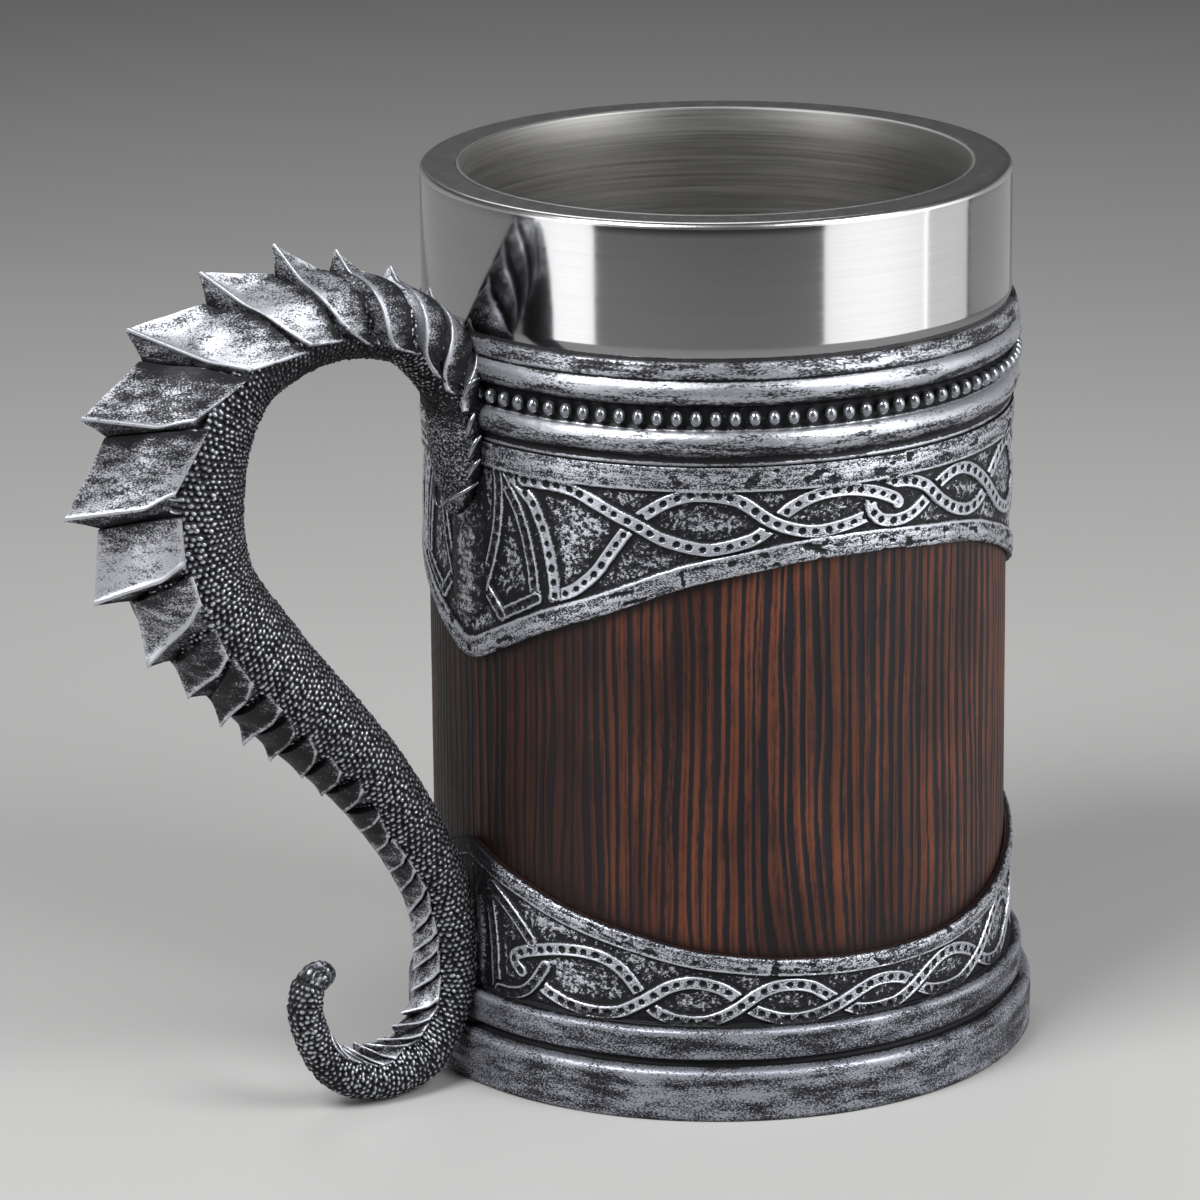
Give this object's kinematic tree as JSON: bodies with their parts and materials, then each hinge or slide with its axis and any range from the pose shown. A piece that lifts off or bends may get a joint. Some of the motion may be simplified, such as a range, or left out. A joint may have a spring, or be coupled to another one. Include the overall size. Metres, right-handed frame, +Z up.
{
  "type": "tankard",
  "caption": "Steel-lined cylindrical tankard with knotwork silver-finish aprons over a wood-grained barrel and a scaled tail handle that arches out and curls at its tip.",
  "frame": {"origin": "centre of the mug's underside, on the table", "axes": "+Z up the mug's axis to the rim; the handle reaches out along -X; +Y is on the left of someone looking along +X; the tail's end leans 3 mm towards -Y"},
  "size_m": [0.1773, 0.107, 0.15],
  "materials": {
    "brushed_steel_cup": "turned brushed",
    "polished_steel": "mirror polished, matt rim",
    "plain_steel": "plain",
    "black_sealant": "matt",
    "painted_wood_grain": "satin paint in fine upright stripes of near-black and red-brown",
    "antique_silver": "silver dry-brushed over black",
    "antique_silver_dark": "silver lightly brushed over black",
    "dark_resin": "matt"
  },
  "bodies": {
    "root": {"liner_cup": "brushed_steel_cup", "outer_shell": "polished_steel", "shell_base": "plain_steel", "collar_seal": "black_sealant", "barrel": "painted_wood_grain", "mouth_band": "antique_silver", "bead_row": "antique_silver", "upper_apron": "antique_silver", "lower_apron": "antique_silver", "foot": "antique_silver", "base_plate": "dark_resin", "tail_core": "antique_silver_dark", "tail_armature": "plain_steel", "tail_dowels": "plain_steel", "arch_scutes": "antique_silver", "back_scutes": "antique_silver_dark", "curl_scutes": "antique_silver"}
  },
  "joints": []
}
